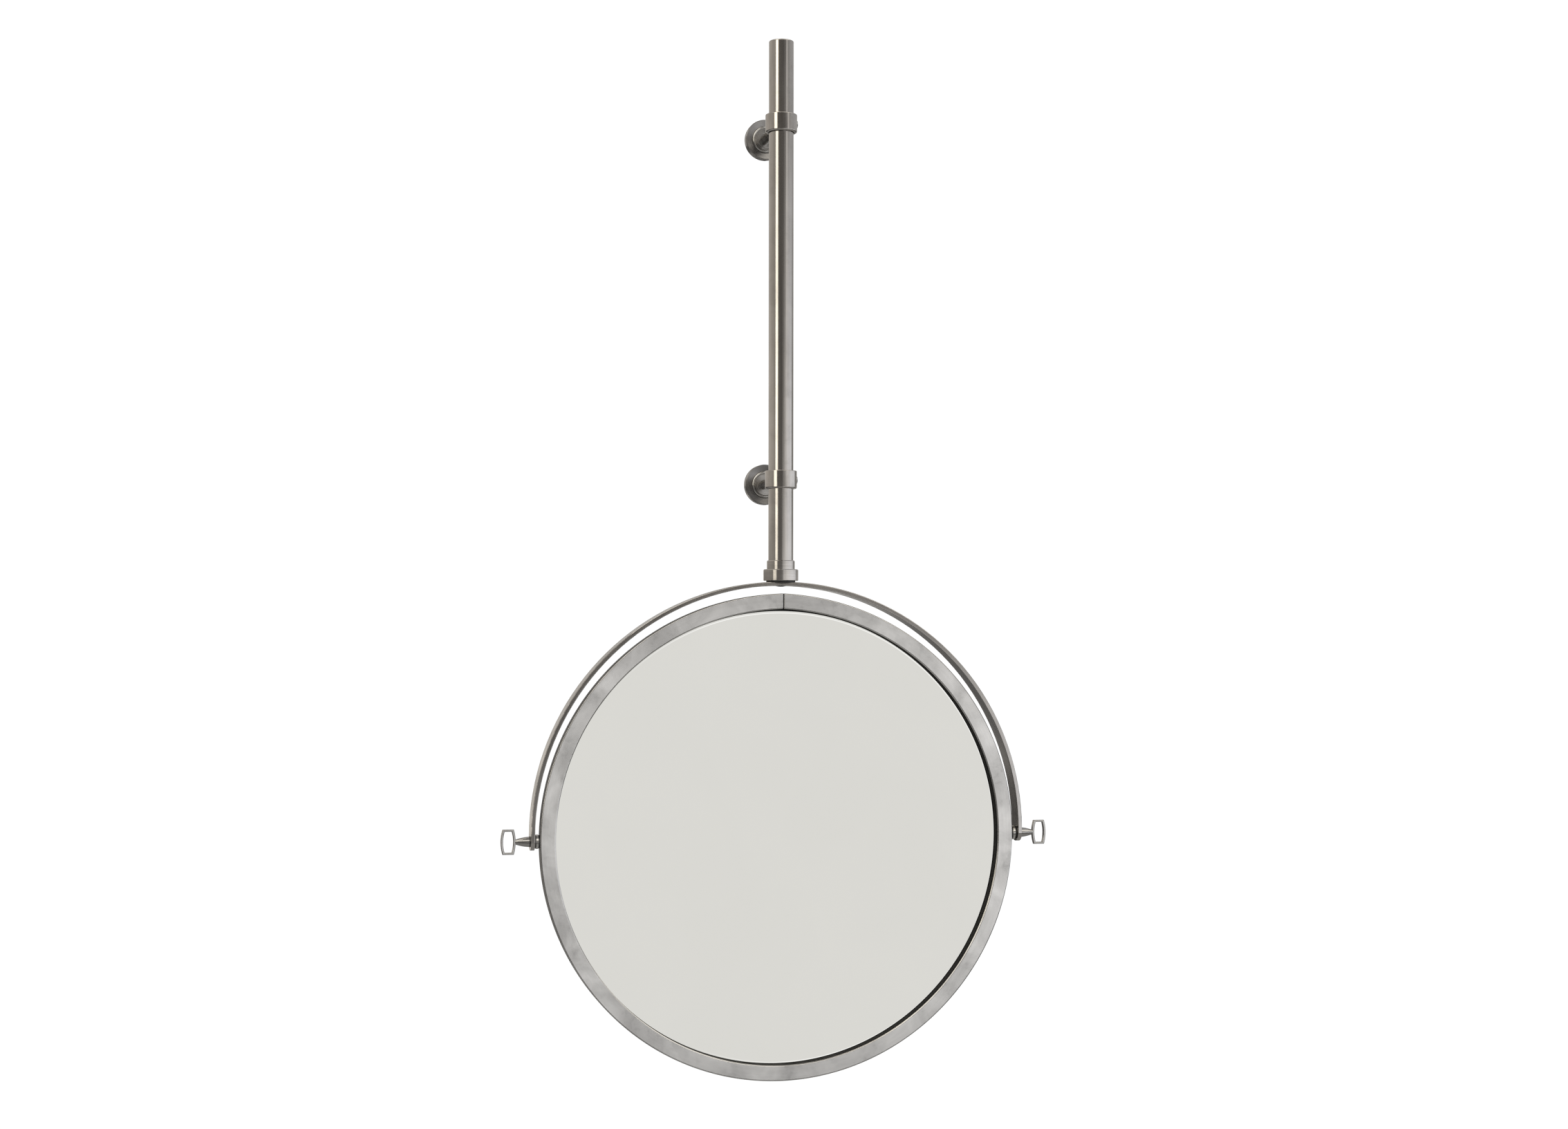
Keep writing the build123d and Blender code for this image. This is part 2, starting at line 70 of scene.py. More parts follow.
def rounded(corners, steps=7, hold=0.15 * MM):
    """Closed outline with rounded corners, from (x, y, radius) corners that turn the same way round.

    Each corner becomes an arc from tangent point to tangent point, swept evenly in angle, with a
    point just before and after it on the straight sides so that flat sides stay flat."""
    corners = np.array(corners, float)
    points = corners[:, :2]
    before = np.roll(points, 1, axis=0) - points
    after = np.roll(points, -1, axis=0) - points
    before /= np.linalg.norm(before, axis=1)[:, None]
    after /= np.linalg.norm(after, axis=1)[:, None]
    half = np.arccos(np.clip((before * after).sum(1), -1, 1)) / 2
    radius = corners[:, 2]
    reach = radius / np.tan(half)
    inward = before + after
    inward /= np.linalg.norm(inward, axis=1)[:, None]
    middle_points = points + inward * (radius / np.sin(half))[:, None]
    share = np.linspace(0.0, 1.0, steps)[None, :, None]
    start = (points + before * reach[:, None] - middle_points)[:, None, :]
    end = (points + after * reach[:, None] - middle_points)[:, None, :]
    swing = (math.pi - 2 * half)[:, None, None]
    arc = (np.sin((1 - share) * swing) * start + np.sin(share * swing) * end) / np.sin(swing)
    arc += middle_points[:, None, :]
    first = (points + before * (reach + hold)[:, None])[:, None, :]
    last = (points + after * (reach + hold)[:, None])[:, None, :]
    return np.concatenate([first, arc, last], axis=1).reshape(-1, 2)


def outward(outline):
    """Unit normals of a closed outline, at right angles to the chord through each point's neighbours."""
    chord = np.roll(outline, -1, axis=0) - np.roll(outline, 1, axis=0)
    normal = np.stack([chord[:, 1], -chord[:, 0]], axis=1)
    area = (outline[:, 0] * np.roll(outline[:, 1], -1) - np.roll(outline[:, 0], -1) * outline[:, 1]).sum()
    return normal / np.linalg.norm(normal, axis=1)[:, None] * np.sign(area)


def wrapped_faces(columns, rows):
    """Four-cornered faces of a grid that closes on itself both ways."""
    column, row = np.meshgrid(np.arange(columns), np.arange(rows), indexing="ij")
    next_column, next_row = (column + 1) % columns, (row + 1) % rows
    corners = [
        column * rows + row, next_column * rows + row,
        next_column * rows + next_row, column * rows + next_row]
    return np.stack(corners, axis=-1).reshape(-1, 4)


def made_mesh(name, points, faces, body, finish, node_names, **marks):
    """Object from points and faces, turned to face outwards, with its marks, material and body."""
    points = np.asarray(points, float)
    faces = np.asarray(faces, int)
    a, b, c, d = (points[faces[:, corner]] for corner in range(4))
    volume = (np.cross(a, b) * c).sum() + (np.cross(a, c) * d).sum()
    if volume < 0:
        faces = faces[:, ::-1]
    mesh = bpy.data.meshes.new(name)
    mesh.vertices.add(len(points))
    mesh.vertices.foreach_set("co", points.ravel())
    mesh.loops.add(faces.size)
    mesh.loops.foreach_set("vertex_index", faces.ravel())
    mesh.polygons.add(len(faces))
    mesh.polygons.foreach_set("loop_start", np.arange(0, faces.size, 4))
    mesh.update(calc_edges=True)
    mesh.polygons.foreach_set("use_smooth", np.ones(len(faces), bool))
    for label, values in marks.items():
        layer = mesh.attributes.new(label, "FLOAT", "POINT")
        layer.data.foreach_set("value", np.asarray(values, np.float32).ravel())
    mesh.validate()
    made = bpy.data.objects.new(name, mesh)
    bpy.context.scene.collection.objects.link(made)
    mesh.materials.append(finish)
    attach(made, body)
    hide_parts(*node_names)
    return made


# ---- Node helpers ---------------------------------------------------------------------------

class Board:
    """A node tree with short ways to add nodes and join them."""

    def __init__(self, tree):
        self.tree = tree
        self.tree.nodes.clear()

    def add(self, kind, settings=None, **inputs):
        """New node: settings are its properties, inputs are values or sockets by input name."""
        node = self.tree.nodes.new(kind)
        for key, value in (settings or {}).items():
            setattr(node, key, value)
        for key, value in inputs.items():
            self.feed(node, key.replace("_", " "), value)
        return node

    def feed(self, node, name, value):
        """Sets an input by its name or number, or links a socket to it."""
        socket = node.inputs[name]
        if isinstance(value, bpy.types.NodeSocket):
            self.tree.links.new(value, socket)
        else:
            socket.default_value = value

    def math(self, operation, *values, clamp=False):
        """Math node on numbers or sockets."""
        node = self.tree.nodes.new("ShaderNodeMath")
        node.operation = operation
        node.use_clamp = clamp
        for number, value in enumerate(values):
            self.feed(node, number, value)
        return node.outputs[0]

    def weighted(self, first, first_share, second, second_share):
        """Sum of two values, each times its share."""
        one = self.math("MULTIPLY", first, first_share)
        other = self.math("MULTIPLY", second, second_share)
        return self.math("ADD", one, other)

    def from_axis(self, x, y):
        """Distance from the z axis."""
        squares = self.math("ADD", self.math("MULTIPLY", x, x), self.math("MULTIPLY", y, y))
        return self.math("SQRT", squares)

    def spread(self, value, low, high, to_low=0.0, to_high=1.0):
        """Clamped map of a value from one range to another."""
        node = self.tree.nodes.new("ShaderNodeMapRange")
        for number, item in enumerate((value, low, high, to_low, to_high)):
            self.feed(node, number, item)
        return node.outputs[0]

    def mix(self, amount, first, second, blend="MIX"):
        """Mix of two colours."""
        node = self.tree.nodes.new("ShaderNodeMix")
        node.data_type = "RGBA"
        node.blend_type = blend
        self.feed(node, 0, amount)
        self.feed(node, 6, first)
        self.feed(node, 7, second)
        return node.outputs[2]

    def ramp(self, value, stops):
        """Colour ramp through (place, colour) stops."""
        node = self.tree.nodes.new("ShaderNodeValToRGB")
        bar = node.color_ramp
        while len(bar.elements) < len(stops):
            bar.elements.new(0.5)
        for element, (place, colour) in zip(bar.elements, stops):
            element.position = place
            element.color = (*colour, 1.0)
        self.feed(node, 0, value)
        return node.outputs[0]


def effect(name, inputs, outputs):
    """Empty node group with named inputs and outputs, and its board and end nodes."""
    tree = bpy.data.node_groups.new(name, "ShaderNodeTree")
    for label, kind, value in inputs:
        socket = tree.interface.new_socket(label, in_out="INPUT", socket_type=kind)
        if value is not None:
            socket.default_value = value
    for label, kind in outputs:
        tree.interface.new_socket(label, in_out="OUTPUT", socket_type=kind)
    board = Board(tree)
    return tree, board, board.add("NodeGroupInput"), board.add("NodeGroupOutput")


VECTOR, FLOAT = "NodeSocketVector", "NodeSocketFloat"


def round_grain_effect():
    """Brush marks that run round the z axis: noise that changes fast with radius and height."""
    tree, board, start, end = effect(
        "round grain",
        [("Place", VECTOR, None), ("Across", FLOAT, 400.0), ("Along", FLOAT, 12.0)],
        [("Fine", FLOAT), ("Broad", FLOAT)])
    place = board.add("ShaderNodeSeparateXYZ", Vector=start.outputs["Place"])
    x, y, z = place.outputs
    radius = board.from_axis(x, y)
    across, along = start.outputs["Across"], start.outputs["Along"]
    for label, share in (("Fine", 1.0), ("Broad", 0.18)):
        fast = board.math("MULTIPLY", across, share)
        point = board.add(
            "ShaderNodeCombineXYZ",
            X=board.math("MULTIPLY", x, along),
            Y=board.math("MULTIPLY", y, along),
            Z=board.math("MULTIPLY", z, fast))
        noise = board.add(
            "ShaderNodeTexNoise", {"noise_dimensions": "4D"},
            Vector=point.outputs[0], W=board.math("MULTIPLY", radius, fast),
            Scale=1.0, Detail=3.0, Roughness=0.6)
        board.feed(end, label, noise.outputs[0])
    return tree


def straight_grain_effect():
    """Brush marks that run along z: noise stretched along that axis."""
    tree, board, start, end = effect(
        "straight grain",
        [("Place", VECTOR, None), ("Across", FLOAT, 400.0), ("Along", FLOAT, 12.0)],
        [("Fine", FLOAT), ("Broad", FLOAT)])
    place = board.add("ShaderNodeSeparateXYZ", Vector=start.outputs["Place"])
    x, y, z = place.outputs
    across, along = start.outputs["Across"], start.outputs["Along"]
    for label, share in (("Fine", 1.0), ("Broad", 0.22)):
        fast = board.math("MULTIPLY", across, share)
        point = board.add(
            "ShaderNodeCombineXYZ",
            X=board.math("MULTIPLY", x, fast),
            Y=board.math("MULTIPLY", y, fast),
            Z=board.math("MULTIPLY", z, along))
        noise = board.add("ShaderNodeTexNoise", Vector=point.outputs[0], Scale=1.0, Detail=3.0, Roughness=0.6)
        board.feed(end, label, noise.outputs[0])
    return tree


def patina_effect():
    """Clouds of handling and oxide: soft patches, and small stains inside them."""
    tree, board, start, end = effect(
        "patina",
        [("Place", VECTOR, None), ("Size", FLOAT, 40.0)],
        [("Cloud", FLOAT), ("Stain", FLOAT)])
    warp = board.add(
        "ShaderNodeTexNoise", Vector=start.outputs["Place"], Scale=start.outputs["Size"], Detail=4.0,
        Roughness=0.55, Distortion=0.6)
    small = board.add(
        "ShaderNodeTexNoise", Vector=start.outputs["Place"],
        Scale=board.math("MULTIPLY", start.outputs["Size"], 5.0), Detail=4.0, Roughness=0.65)
    board.feed(end, "Cloud", board.spread(warp.outputs[0], 0.35, 0.65))
    board.feed(end, "Stain", board.math(
        "MULTIPLY", board.spread(small.outputs[0], 0.52, 0.72), board.spread(warp.outputs[0], 0.45, 0.6)))
    return tree


def edge_wear_and_highlight_effect():
    """Rubbed edges, lightened partly as wear and partly as a painted highlight: where a rounded normal leaves
    the true one, broken up by noise.
    """
    tree, board, start, end = effect(
        "edge wear and painted highlight", [("Place", VECTOR, None), ("Width", FLOAT, 0.0005)], [("Edge", FLOAT)])
    soft = board.add("ShaderNodeBevel", {"samples": 4}, Radius=start.outputs["Width"])
    plain = board.add("ShaderNodeNewGeometry")
    turn = board.add("ShaderNodeVectorMath", {"operation": "DOT_PRODUCT"})
    board.feed(turn, 0, soft.outputs[0])
    board.feed(turn, 1, plain.outputs["Normal"])
    noise = board.add("ShaderNodeTexNoise", Vector=start.outputs["Place"], Scale=900.0, Detail=2.0)
    edge = board.spread(turn.outputs["Value"], 0.995, 0.93)
    board.feed(end, "Edge", board.math("MULTIPLY", edge, board.spread(noise.outputs[0], 0.3, 0.6, 0.5, 1.0)))
    return tree


ROUND_GRAIN = round_grain_effect()
STRAIGHT_GRAIN = straight_grain_effect()
PATINA = patina_effect()
EDGE_WEAR_AND_HIGHLIGHT = edge_wear_and_highlight_effect()


# ---- Materials ------------------------------------------------------------------------------

def material(name):
    """New material with its board, its finished shader and its object coordinates."""
    made = bpy.data.materials.new(name)
    made.use_nodes = True
    board = Board(made.node_tree)
    shader = board.add("ShaderNodeBsdfPrincipled")
    output = board.add("ShaderNodeOutputMaterial")
    board.tree.links.new(shader.outputs[0], output.inputs[0])
    place = board.add("ShaderNodeTexCoord").outputs["Object"]
    return made, board, shader, place


def centred(board, place, centre, axis="Z"):
    """Object coordinates moved to a centre and turned so that the axis given becomes z."""
    turn = {"Z": (0, 0, 0), "Y": (math.pi / 2, 0, 0), "X": (0, math.pi / 2, 0)}[axis]
    move = board.add("ShaderNodeVectorMath", {"operation": "SUBTRACT"})
    board.feed(move, 0, place)
    board.feed(move, 1, centre)
    mapping = board.add("ShaderNodeMapping", Vector=move.outputs[0], Rotation=turn)
    return mapping.outputs[0]


def group(board, tree, **inputs):
    """A shared effect placed in a material."""
    node = board.add("ShaderNodeGroup", {"node_tree": tree})
    for key, value in inputs.items():
        board.feed(node, key, value)
    return node


def scaled(colour, factor):
    """Colour made lighter or darker, with full alpha."""
    return (*[min(1.0, factor * value) for value in colour], 1)


def steel(name, light, dark, grain, centre, axis="Z", across=400.0, along=12.0, rough=(0.2, 0.34),
          cloud_size=30.0, cloud=0.25, stain=0.15, edge=0.5, edge_width=0.5 * MM, marks=2e-6,
          dark_mark=None, dish=0.0):
    """Brushed steel: streaks of light and dark metal, clouded by handling, with rubbed edges lightened as
    wear and as a painted highlight.

    dark_mark names the attribute that blackens it: painted shade on the frame's walls, and dirt in its
    seam. dish is a slope in the surface's height only: flat faces across the axis are shaded as if they
    fell away outwards, though their shape stays flat."""
    made, board, shader, place = material(name)
    local = centred(board, place, centre, axis)
    brush = group(board, grain, Place=local, Across=across, Along=along)
    patina = group(board, PATINA, Place=place, Size=cloud_size)
    wear_and_highlight = group(board, EDGE_WEAR_AND_HIGHLIGHT, Place=place, Width=edge_width)
    streak = board.weighted(brush.outputs["Fine"], 0.5, brush.outputs["Broad"], 0.5)
    tone = board.mix(board.spread(streak, 0.36, 0.64), (*dark, 1), (*light, 1))
    clouded = board.mix(
        board.math("MULTIPLY", patina.outputs["Cloud"], cloud), tone, scaled(dark, 0.55))
    stained = board.mix(
        board.math("MULTIPLY", patina.outputs["Stain"], stain), clouded, scaled(dark, 0.35))
    # Edges lightened: partly wear, partly a painted highlight.
    rubbed_and_highlit = board.mix(
        board.math("MULTIPLY", wear_and_highlight.outputs["Edge"], edge), stained, scaled(light, 1.18))
    uneven = board.weighted(streak, 0.6, patina.outputs["Cloud"], 0.4)
    gloss = board.spread(uneven, 0.25, 0.8, *rough)
    shader.inputs["Metallic"].default_value = 1.0
    # Where the mark is set, the steel is painted near-black and dull: painted shade on the frame's walls, and
    # dirt in its seam.
    if dark_mark:
        shader.inputs["Specular IOR Level"].default_value = 0.03
        marked = board.add("ShaderNodeAttribute", {"attribute_name": dark_mark}).outputs["Fac"]
        rubbed_and_highlit = board.mix(marked, rubbed_and_highlit, SEAM_DIRT_AND_SHADE_BLACK)
        gloss = board.math("ADD", gloss, board.math("MULTIPLY", marked, 0.3))
        board.feed(shader, "Metallic", board.math("SUBTRACT", 1.0, marked))
    board.feed(shader, "Base Color", rubbed_and_highlit)
    board.feed(shader, "Roughness", gloss)
    height = board.math("MULTIPLY", brush.outputs["Fine"], marks)
    if dish:
        across_it = board.add("ShaderNodeSeparateXYZ", Vector=local).outputs
        reach = board.from_axis(across_it[0], across_it[1])
        height = board.math("SUBTRACT", height, board.math("MULTIPLY", reach, dish))
    bump = board.add("ShaderNodeBump", Height=height, Strength=1.0, Distance=1.0)
    board.feed(shader, "Normal", bump.outputs[0])
    return made


def speckled(name, light, dark, rough, metallic=0.0, scale=1200.0, bump_depth=1e-5, coat=0.0):
    """Moulded, cast or foamed surface: fine grain in colour, gloss and height, with soft patches."""
    made, board, shader, place = material(name)
    fine = board.add("ShaderNodeTexNoise", Vector=place, Scale=scale, Detail=4.0, Roughness=0.6)
    patina = group(board, PATINA, Place=place, Size=scale / 16)
    tone = board.mix(board.spread(fine.outputs[0], 0.35, 0.65), (*dark, 1), (*light, 1))
    board.feed(shader, "Base Color", board.mix(
        board.math("MULTIPLY", patina.outputs["Cloud"], 0.4), tone, (*dark, 1)))
    shader.inputs["Metallic"].default_value = metallic
    shader.inputs["Coat Weight"].default_value = coat
    uneven = board.weighted(fine.outputs[0], 0.5, patina.outputs["Cloud"], 0.3)
    board.feed(shader, "Roughness", board.spread(uneven, 0.15, 0.6, *rough))
    bump = board.add("ShaderNodeBump", Height=fine.outputs[0], Strength=1.0, Distance=bump_depth)
    board.feed(shader, "Normal", bump.outputs[0])
    return made


# Near-black for painted shade on the frame's walls and for dirt in its seam.
SEAM_DIRT_AND_SHADE_BLACK = (0.005, 0.005, 0.0055, 1)


def silvered_glass():
    """Mirror glass: silvering seen through clear glass, with faint smears, fine dust, and a painted
    reflection of the lip's edge near the rim.
    """
    made, board, shader, place = material("silvered glass")
    smear = group(board, PATINA, Place=place, Size=9.0)
    dust = board.add("ShaderNodeTexNoise", Vector=place, Scale=2600.0, Detail=1.0)
    specks = board.spread(dust.outputs[0], 0.74, 0.8)
    tint = board.mix(board.math("MULTIPLY", smear.outputs["Cloud"], 0.5), SILVER, SILVER_SMEARED)
    dusty = board.mix(board.math("MULTIPLY", specks, 0.25), tint, DUST)
    # Painted reflection: a bright ring on the silver where the lip's rounded edge would be mirrored.
    edge = board.add("ShaderNodeAttribute", {"attribute_name": "ground_edge"}).outputs["Fac"]
    board.feed(shader, "Base Color", board.mix(edge, dusty, PAINTED_LIP_REFLECTION_COLOUR))
    shader.inputs["Metallic"].default_value = 1.0
    uneven = board.math("ADD", board.math("MULTIPLY", smear.outputs["Cloud"], 0.4), specks)
    board.feed(shader, "Roughness", board.spread(uneven, 0.0, 1.0, 0.012, 0.06))
    bump = board.add("ShaderNodeBump", Height=smear.outputs["Cloud"], Strength=1.0, Distance=2e-6)
    board.feed(shader, "Normal", bump.outputs[0])
    return made


SILVER = (0.70, 0.692, 0.655, 1)
SILVER_SMEARED = (0.685, 0.678, 0.642, 1)
DUST = (0.60, 0.60, 0.58, 1)
PAINTED_LIP_REFLECTION_COLOUR = (0.93, 0.925, 0.90, 1)

WARM_STEEL = ((0.66, 0.625, 0.585), (0.52, 0.49, 0.455))
FRAME_STEEL = ((0.76, 0.745, 0.725), (0.65, 0.635, 0.615))
YOKE_STEEL = ((0.62, 0.595, 0.565), (0.50, 0.475, 0.45))
DARK_STEEL = ((0.37, 0.355, 0.34), (0.29, 0.28, 0.27))
BRIGHT_STEEL = ((0.70, 0.685, 0.66), (0.56, 0.545, 0.52))
PLATED_STEEL = ((0.66, 0.66, 0.67), (0.54, 0.54, 0.55))

pole_place = tuple(POLE_AXIS)
yoke_centre = (MIRROR_CENTRE.x, MIRROR_CENTRE.y, YOKE_HIGH.z - (YOKE_HIGH.x - YOKE_LOW.x) / 2)
mirror_centre = tuple(MIRROR_CENTRE)

finishes = {
    "pole_tube": steel(
        "brushed pole steel", *WARM_STEEL, STRAIGHT_GRAIN, pole_place, across=450.0, along=9.0,
        rough=(0.09, 0.17)),
    "pole_cap": steel(
        "turned cap steel", *WARM_STEEL, ROUND_GRAIN, pole_place, across=500.0, along=40.0,
        rough=(0.09, 0.17)),
    "mirror_frame": steel(
        "brushed frame steel", *FRAME_STEEL, ROUND_GRAIN, mirror_centre, "Y", across=420.0, along=14.0,
        rough=(0.18, 0.28), cloud_size=22.0, cloud=0.4, stain=0.3, dark_mark="blackened"),
    "yoke_bar": steel(
        "brushed yoke steel", *YOKE_STEEL, ROUND_GRAIN, yoke_centre, "Y", across=420.0, along=12.0,
        rough=(0.16, 0.26), dish=0.14),
    "mirror_glass": silvered_glass(),
}
ferrule_steel = steel("turned ferrule steel", *WARM_STEEL, ROUND_GRAIN, pole_place, across=700.0, along=30.0,
                      rough=(0.07, 0.13), cloud=0.15)
finishes["ferrule_ring"] = ferrule_steel
finishes["ferrule_cup"] = ferrule_steel
finishes["back_panel"] = steel(
    "satin back sheet", (0.60, 0.60, 0.61), (0.52, 0.52, 0.53), STRAIGHT_GRAIN, mirror_centre, across=500.0,
    along=10.0, rough=(0.34, 0.48), cloud=0.2, stain=0.1)
key_steel = speckled(
    "cast key steel", (0.55, 0.535, 0.515), (0.40, 0.39, 0.375), (0.13, 0.22), metallic=1.0,
    scale=1500.0, bump_depth=8e-6)
screw_steel = speckled(
    "bright screw steel", (0.52, 0.52, 0.52), (0.40, 0.40, 0.40), (0.24, 0.4), metallic=1.0, scale=2500.0)
plated = speckled("zinc plated steel", *PLATED_STEEL, (0.3, 0.42), metallic=1.0, scale=1800.0)
black_plastic = speckled(
    "black plastic", (0.035, 0.035, 0.036), (0.022, 0.022, 0.022), (0.35, 0.5), scale=2200.0)
black_rubber = speckled(
    "black rubber", (0.012, 0.012, 0.012), (0.006, 0.006, 0.006), (0.7, 0.9), scale=1600.0)
foam = speckled(
    "grey foam", (0.13, 0.13, 0.13), (0.06, 0.06, 0.06), (0.8, 0.95), scale=900.0, bump_depth=1e-4)
brass = speckled(
    "turned brass", (0.74, 0.58, 0.30), (0.60, 0.46, 0.22), (0.25, 0.4), metallic=1.0, scale=1800.0)

for node in ("left_key", "right_key"):
    finishes[node] = key_steel
for node in ("swivel_screw", "snap_ring", "left_key_stud", "right_key_stud",
             "upper_set_screw", "lower_set_screw", "upper_grub_screw", "lower_grub_screw"):
    finishes[node] = screw_steel
oiled = speckled("oiled washer steel", (0.24, 0.235, 0.23), (0.15, 0.147, 0.143), (0.2, 0.32), metallic=1.0,
                 scale=2000.0)
for node in ("left_key_washer", "right_key_washer"):
    finishes[node] = oiled
for node in ("upper_wall_plate", "lower_wall_plate", "pole_plug", "pivot_inserts"):
    finishes[node] = plated
for node in ("upper_collar_liner", "lower_collar_liner", "friction_washer", "pivot_washers"):
    finishes[node] = black_plastic
finishes["glass_gasket"] = black_rubber
finishes["glass_cushion"] = foam
for node in ("upper_pressure_pad", "lower_pressure_pad"):
    finishes[node] = brass
finishes["pivot_spacers"] = steel(
    "turned spacer steel", *BRIGHT_STEEL, ROUND_GRAIN, mirror_centre, "X", across=900.0, along=60.0,
    rough=(0.14, 0.24), cloud=0.2)
for level in LEVELS:
    at = tuple(middle(level + "_collar"))
    finishes[level + "_collar"] = steel(
        level + " collar steel", *WARM_STEEL, STRAIGHT_GRAIN, at, across=450.0, along=40.0,
        rough=(0.08, 0.15))
    wall = (at[0], 0.0, at[2])
    finishes[level + "_rosette"] = steel(
        level + " rosette steel", *DARK_STEEL, ROUND_GRAIN, wall, "Y", across=900.0, along=40.0,
        rough=(0.2, 0.28), cloud=0.15, stain=0.0, edge=0.15, marks=3e-7)
    finishes[level + "_arm"] = steel(
        level + " arm steel", *DARK_STEEL, ROUND_GRAIN, wall, "Y", across=700.0, along=60.0,
        rough=(0.14, 0.22), cloud=0.15, stain=0.0, edge=0.15, marks=3e-7)
    finishes[level + "_bead_ring"] = steel(
        level + " bead ring steel", *BRIGHT_STEEL, ROUND_GRAIN, wall, "Y", across=900.0, along=60.0,
        rough=(0.12, 0.22), cloud=0.3)

for node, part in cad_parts.items():
    part.data.materials.clear()
    part.data.materials.append(finishes[node])


# ---- Framed glass ---------------------------------------------------------------------------

FRAME_LOW, FRAME_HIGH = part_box("mirror_frame")
GASKET_LOW, GASKET_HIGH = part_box("glass_gasket")
GLASS_LOW, GLASS_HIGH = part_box("mirror_glass")
FRAME_FACE = 15.5 * MM
FRAME_WALL = 3.5 * MM
LIP_ROUND = 1.4 * MM
OUTER_ROUND = 1.2 * MM
BACK_ROUND = 0.5 * MM
WAVE = 0.05 * MM              # unevenness of the hand-finished face
OUTER_WALL_PAINTED_SHADE = 0.62          # painted shade on the frame's outer side: how black it is, from 0 to 1
SILVER_DEPTH = 2.3 * MM       # behind the glass's front; less than its 4 mm, so the dark rim looks narrow
PAINTED_REFLECTION_INSET = 1.95 * MM       # painted reflection of the lip's bright edge: a bright line on the silver, inside the lip's edge
PAINTED_REFLECTION_HALF = 0.3 * MM
SEAM_PLACE = 1.5 * MM         # seam, to the right of the top
SEAM_HALF = 0.65 * MM
SEAM_DEPTH = 0.5 * MM
SEAM_PEAK = 2.0 * MM          # the bent ring stands a little proud where its ends meet
SEAM_PEAK_REACH = math.radians(10)


def round_mirror(radius, depth, turn):
    """Points round the mirror's axis: radius out from it, depth along it, turned from the top."""
    centre = np.array(mirror_centre)
    across = centre[0] + radius * np.sin(turn)
    up = centre[2] + radius * np.cos(turn)
    return np.stack([across, depth + np.zeros_like(radius), up], axis=-1)


def mirror_ring():
    """Frame: its section is carried round the mirror's axis.

    Radius and depth come from the section, moved out by a smooth peak near the seam, out and in by a
    faint hand-finished wave, and in along the section's normal by a rounded groove at the seam."""
    outer = (FRAME_HIGH.x - FRAME_LOW.x) / 2
    front, back = FRAME_LOW.y, FRAME_HIGH.y
    inner = outer - FRAME_FACE
    bore = outer - FRAME_WALL
    lip = GASKET_LOW.y
    section = rounded([
        (inner, front, LIP_ROUND), (outer, front, OUTER_ROUND), (outer, back, BACK_ROUND),
        (bore, back, 0.2 * MM), (bore, lip, 0.2 * MM), (inner, lip, 0.1 * MM)])
    normal = outward(section)
    seam_turn = SEAM_PLACE / outer
    near_seam = seam_turn + np.linspace(-1.6, 1.6, 33) * SEAM_HALF / (outer - FRAME_FACE / 2)
    evenly = np.linspace(0.0, 2 * math.pi, 541)[:-1]
    away = np.abs((evenly - seam_turn + math.pi) % (2 * math.pi) - math.pi) > 2.2 * SEAM_HALF / outer
    turn = np.sort(np.concatenate([near_seam % (2 * math.pi), evenly[away]]))
    offset = (turn - seam_turn + math.pi) % (2 * math.pi) - math.pi
    across_seam = offset * (outer - FRAME_FACE / 2) / SEAM_HALF
    groove = SEAM_DEPTH * np.exp(-across_seam ** 4)
    peak = SEAM_PEAK * np.exp(-np.abs(offset) / SEAM_PEAK_REACH)
    wave = WAVE * (np.sin(5 * turn + 1.0) + 0.6 * np.sin(11 * turn + 2.0))
    radius = section[None, :, 0] - groove[:, None] * normal[None, :, 0] + peak[:, None]
    depth = section[None, :, 1] - groove[:, None] * normal[None, :, 1]
    face = np.clip(1 - (section[:, 1] - front) / (0.3 * MM), 0, 1)
    depth = depth + wave[:, None] * face[None, :]
    points = round_mirror(radius, depth, turn[:, None] + np.zeros_like(radius))
    # Painted shade: the frame's inner wall behind the lip is painted black and its outer side darker. The
    # seam is darkened by dirt.
    inside_wall = (section[:, 0] < inner + 0.4 * MM) & (section[:, 1] > front + 0.8 * LIP_ROUND)
    outside_wall = OUTER_WALL_PAINTED_SHADE * np.clip((section[:, 1] - front - 0.25 * MM) / (0.5 * MM), 0, 1) * (
        section[:, 0] > outer - 1.3 * MM)
    walls = np.maximum(inside_wall.astype(float), outside_wall)
    seam_dirt = np.clip(1.15 * np.exp(-across_seam ** 4), 0, 0.92)
    dark = np.maximum(seam_dirt[:, None], walls[None, :])
    return made_mesh(
        "mirror_ring", points.reshape(-1, 3), wrapped_faces(len(turn), len(section)), "mirror",
        finishes["mirror_frame"], ["mirror_frame"], blackened=dark)


def even_turns():
    """Angles evenly spaced round the mirror."""
    return np.linspace(0.0, 2 * math.pi, 361)[:-1]


def ring_piece(name, section, finish, nodes, **marks):
    """Ring about the mirror's axis: a closed section of (radius, depth) carried evenly round it."""
    turn = even_turns()
    radius = section[None, :, 0] + np.zeros((len(turn), 1))
    depth = section[None, :, 1] + np.zeros((len(turn), 1))
    points = round_mirror(radius, depth, turn[:, None] + np.zeros_like(radius))
    return made_mesh(
        name, points.reshape(-1, 3), wrapped_faces(len(turn), len(section)), "mirror", finish, nodes, **marks)


def glass_rim():
    """Dark rim between the lip and the silvering: the gasket, and the glass's edge seen through it."""
    inner = (FRAME_HIGH.x - FRAME_LOW.x) / 2 - FRAME_FACE
    outer = (GASKET_HIGH.x - GASKET_LOW.x) / 2
    front, back = GASKET_LOW.y, GLASS_LOW.y + SILVER_DEPTH
    corner = 0.1 * MM
    section = rounded(
        [(inner, front, corner), (outer, front, corner), (outer, back, corner), (inner, back, corner)],
        steps=4, hold=0.05 * MM)
    return ring_piece("glass_rim", section, finishes["glass_gasket"], ["glass_gasket"])


